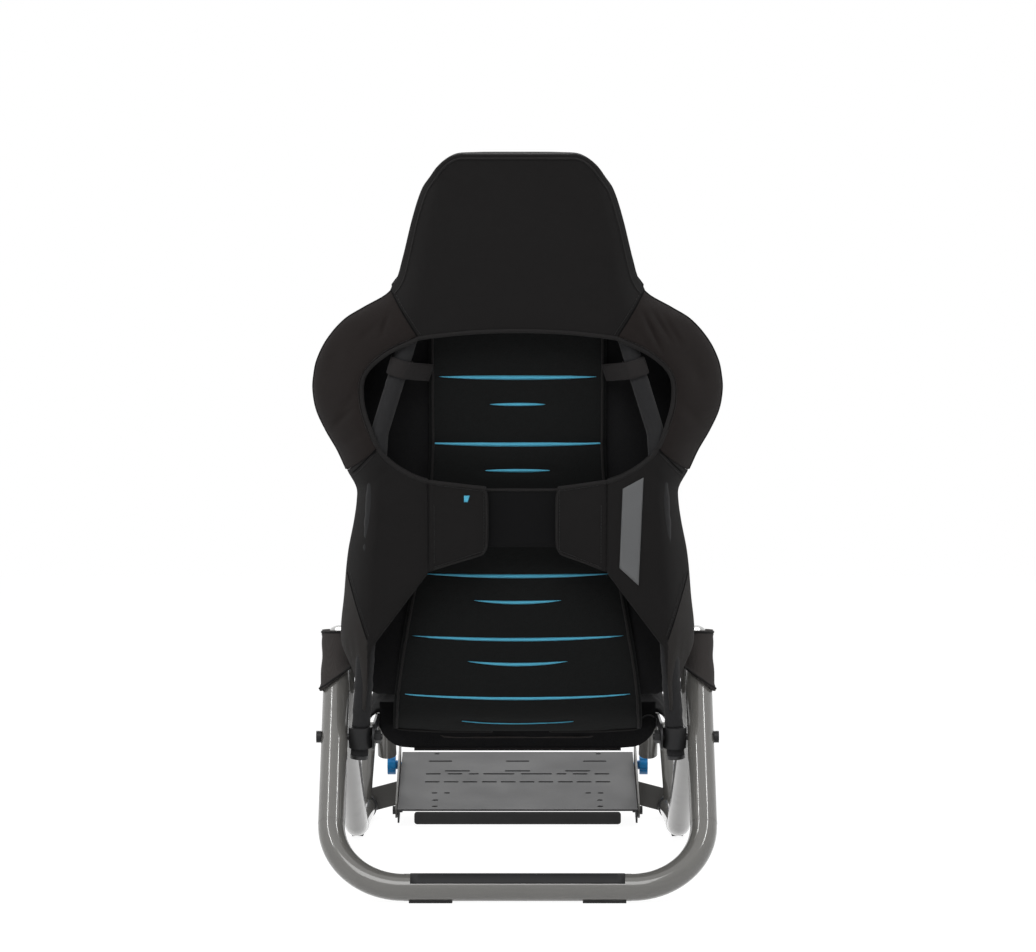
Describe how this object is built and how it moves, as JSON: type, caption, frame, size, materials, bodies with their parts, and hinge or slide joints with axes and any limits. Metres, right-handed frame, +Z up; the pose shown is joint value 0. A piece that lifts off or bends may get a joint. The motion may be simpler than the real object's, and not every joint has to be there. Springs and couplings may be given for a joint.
{
  "type": "driving simulator seat",
  "caption": "Tube-framed driving simulator seat with a reclining sling backrest, a sliding tilting pedal plate and an adjustable wheel deck on arms.",
  "frame": {"origin": "on the floor, under the middle of the bounding box", "axes": "+Z up, the driver faces -Y, +X is the driver's left"},
  "size_m": [0.579, 1.39, 1.0349],
  "materials": {
    "frame_paint": "glossy warm grey paint",
    "steel": "satin zinc",
    "black_steel": "satin black",
    "black_plastic": "fine grain",
    "rubber": "matt",
    "sleeve_fabric": "knit sleeve",
    "cover_fabric": "smooth knit",
    "wing_fabric": "smooth knit, warmer",
    "strap_fabric": "loop face",
    "mesh_fabric": "spacer mesh",
    "pad_fabric": "quilted",
    "plate_paint": "textured dark grey",
    "bracket_paint": "satin grey",
    "blue_plastic": "moulded"
  },
  "bodies": {
    "frame": {"rear_loop": "frame_paint", "side_tube_left": "frame_paint", "side_tube_right": "frame_paint", "joint_spigots": "steel", "joint_screws": "black_steel", "runner_collars": "black_plastic", "floor_pads": "rubber", "pivot_plates": "black_steel", "pivot_bolts": "black_steel", "pivot_nuts": "black_steel", "seat_hoop": "black_steel", "seat_struts": "frame_paint", "seat_cushion": "pad_fabric", "seat_sling": "mesh_fabric", "seat_strap_left": "strap_fabric", "seat_strap_right": "strap_fabric", "arm_posts": "frame_paint", "arm_pivot_bolts": "black_steel"},
    "backrest": {"backrest_hoop": "sleeve_fabric", "backrest_collars": "black_steel", "backrest_end_caps": "black_plastic", "headrest_pad": "cover_fabric", "wing_left": "wing_fabric", "wing_right": "wing_fabric", "side_cover_left": "cover_fabric", "side_cover_right": "cover_fabric", "lumbar_flap_left": "strap_fabric", "lumbar_flap_right": "strap_fabric", "lumbar_band": "strap_fabric", "back_sling": "mesh_fabric", "back_bolster_left": "pad_fabric", "back_bolster_right": "pad_fabric", "shoulder_pad": "pad_fabric", "tube_tab_left": "strap_fabric", "tube_tab_right": "strap_fabric"},
    "pedal_carriage": {"slide_tube_left": "steel", "slide_tube_right": "steel", "slide_end_caps": "black_plastic", "pedal_bracket_left": "bracket_paint", "pedal_bracket_right": "bracket_paint", "pedal_pivot_bolts": "black_steel"},
    "pedal_board": {"pedal_plate": "plate_paint", "heel_stop": "rubber"},
    "tilt_knob_left": {"pedal_knob_left": "blue_plastic"},
    "tilt_knob_right": {"pedal_knob_right": "blue_plastic"},
    "wheel_support": {"wheel_arms": "frame_paint", "arm_bushes": "black_plastic"},
    "wheel_slider": {"wheel_fork": "steel", "deck_hinge_bolts": "black_steel"},
    "wheel_table": {"wheel_deck": "plate_paint", "deck_side_plates": "plate_paint"},
    "clamp_knob_left": {"height_knob_left": "black_plastic"},
    "clamp_knob_right": {"height_knob_right": "black_plastic"}
  },
  "joints": [
    {"name": "backrest_recline", "type": "hinge", "parent": "frame", "child": "backrest", "pos_m": [0, 0.5224, 0.218], "axis": [1, 0, 0], "range_deg": [-10, 8]},
    {"name": "pedal_slide", "type": "slide", "parent": "frame", "child": "pedal_carriage", "axis": [0, -1, 0], "range_m": [0, 0.28]},
    {"name": "pedal_tilt", "type": "hinge", "parent": "pedal_carriage", "child": "pedal_board", "pos_m": [0, -0.432, 0.026], "axis": [-1, 0, 0], "range_deg": [-8, 9]},
    {"name": "tilt_knob_left_turn", "type": "hinge", "parent": "pedal_board", "child": "tilt_knob_left", "pos_m": [0.206, -0.6503, 0.08449], "axis": [1, 0, 0], "continuous": true},
    {"name": "tilt_knob_right_turn", "type": "hinge", "parent": "pedal_board", "child": "tilt_knob_right", "pos_m": [-0.206, -0.6503, 0.08449], "axis": [-1, 0, 0], "continuous": true},
    {"name": "wheel_reach", "type": "hinge", "parent": "frame", "child": "wheel_support", "pos_m": [0, -0.524, 0.155], "axis": [1, 0, 0], "range_deg": [-5, 10]},
    {"name": "wheel_height", "type": "slide", "parent": "wheel_support", "child": "wheel_slider", "axis": [0, 0.5387, 0.8425], "range_m": [0, 0.05]},
    {"name": "deck_tilt", "type": "hinge", "parent": "wheel_slider", "child": "wheel_table", "pos_m": [0, -0.28122, 0.55466], "axis": [1, 0, 0], "range_deg": [-15, 15]},
    {"name": "clamp_knob_left_turn", "type": "hinge", "parent": "wheel_support", "child": "clamp_knob_left", "pos_m": [0.168, -0.33185, 0.47547], "axis": [1, 0, 0], "continuous": true},
    {"name": "clamp_knob_right_turn", "type": "hinge", "parent": "wheel_support", "child": "clamp_knob_right", "pos_m": [-0.168, -0.33185, 0.47547], "axis": [-1, 0, 0], "continuous": true}
  ]
}
